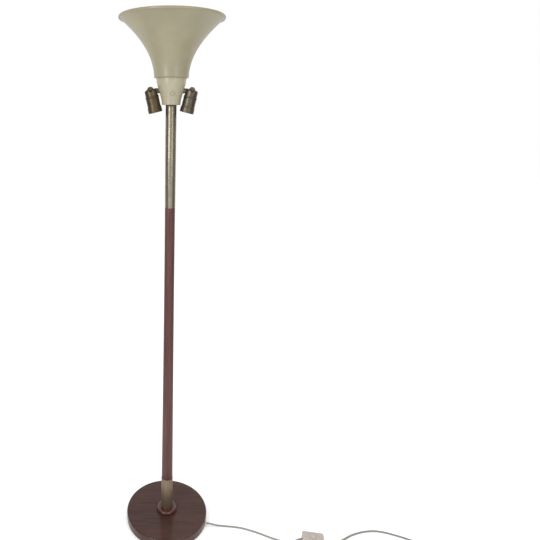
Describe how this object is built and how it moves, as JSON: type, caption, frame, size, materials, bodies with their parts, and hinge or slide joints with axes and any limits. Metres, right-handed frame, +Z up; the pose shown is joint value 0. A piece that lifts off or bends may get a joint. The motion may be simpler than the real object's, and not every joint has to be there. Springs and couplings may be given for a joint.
{
  "type": "floor lamp",
  "caption": "Torchiere floor lamp: trumpet uplighter on a painted neck with two swivelling side lampholders, turned wooden pole, round wooden base, flat flex with foot switch.",
  "frame": {"origin": "centre of the base's underside, on the floor", "axes": "+Z up along the pole; -Y is the front, the side the neck screw faces; +X is to the right seen from the front, the side the flex leaves"},
  "size_m": [0.9668, 0.348, 1.5],
  "materials": {
    "dark_wood": "gloss varnish",
    "pole_wood": "satin varnish",
    "rosette_wood": "gloss lacquer",
    "iron": "rough",
    "felt": "matt felt",
    "aged_brass": "aged, satin",
    "old_brass": "aged, satin",
    "nickel": "worn nickel plate",
    "silver_nickel": "satin nickel plate",
    "steel": "plain",
    "bright_brass": "plain",
    "shade_paint": "satin enamel",
    "neck_paint": "satin enamel",
    "porcelain": "glazed porcelain",
    "flex_sheath": "clear sheath on copper",
    "inner_sheath": "plain",
    "lead_sheath": "plain",
    "switch_plastic": "satin",
    "plug_plastic": "satin",
    "gland_plastic": "satin",
    "spring_steel": "plain"
  },
  "bodies": {
    "stand": {"base_disc": "dark_wood", "base_ballast": "iron", "ballast_screws": "steel", "base_felt": "felt", "base_rosette": "rosette_wood", "rod_foot_nut": "steel", "cord_grommet": "gland_plastic", "lower_sleeve": "old_brass", "sleeve_bush": "bright_brass", "wood_pole": "pole_wood", "upper_tube": "nickel", "tube_bush": "bright_brass", "tie_rod": "steel", "neck_cone": "neck_paint", "neck_nut": "steel", "neck_screw": "neck_paint", "junction_block": "porcelain", "neck_leads": "lead_sheath", "inner_flex": "inner_sheath", "left_arm": "aged_brass", "left_arm_nut": "steel", "right_arm": "silver_nickel", "right_arm_nut": "steel", "trumpet_shade": "shade_paint", "shade_nut": "steel", "centre_cap": "aged_brass", "centre_nut": "steel", "centre_shell": "aged_brass", "centre_insert": "porcelain", "centre_screw_shell": "bright_brass", "centre_contact": "bright_brass", "switch_base": "switch_plastic", "switch_cover": "switch_plastic", "switch_spring": "spring_steel", "switch_contacts": "bright_brass", "switch_screws": "steel", "cord_to_switch": "flex_sheath", "cord_to_coil": "flex_sheath", "cord_coil": "flex_sheath", "cord_tail": "flex_sheath", "plug_body": "plug_plastic", "plug_pins": "bright_brass"},
    "left_holder": {"left_cap": "aged_brass", "left_pivot_screw": "aged_brass", "left_pivot_nut": "aged_brass", "left_shell": "aged_brass", "left_insert": "porcelain", "left_screw_shell": "bright_brass", "left_contact": "bright_brass"},
    "right_holder": {"right_cap": "silver_nickel", "right_pivot_screw": "silver_nickel", "right_pivot_nut": "silver_nickel", "right_shell": "silver_nickel", "right_insert": "porcelain", "right_screw_shell": "bright_brass", "right_contact": "bright_brass"},
    "foot_button": {"switch_button": "switch_plastic"}
  },
  "joints": [
    {"name": "left_holder_tilt", "type": "hinge", "parent": "stand", "child": "left_holder", "pos_m": [-0.0521, 0, 1.3314], "axis": [0, 1, 0], "range_deg": [0, 90]},
    {"name": "right_holder_tilt", "type": "hinge", "parent": "stand", "child": "right_holder", "pos_m": [0.0521, 0, 1.3314], "axis": [0, -1, 0], "range_deg": [0, 90]},
    {"name": "foot_button_press", "type": "slide", "parent": "stand", "child": "foot_button", "axis": [0, 0, -1], "range_m": [0, 0.003], "stiffness_N_per_m": 800, "springref_m": -0.002, "deforming": ["switch_spring"]}
  ]
}
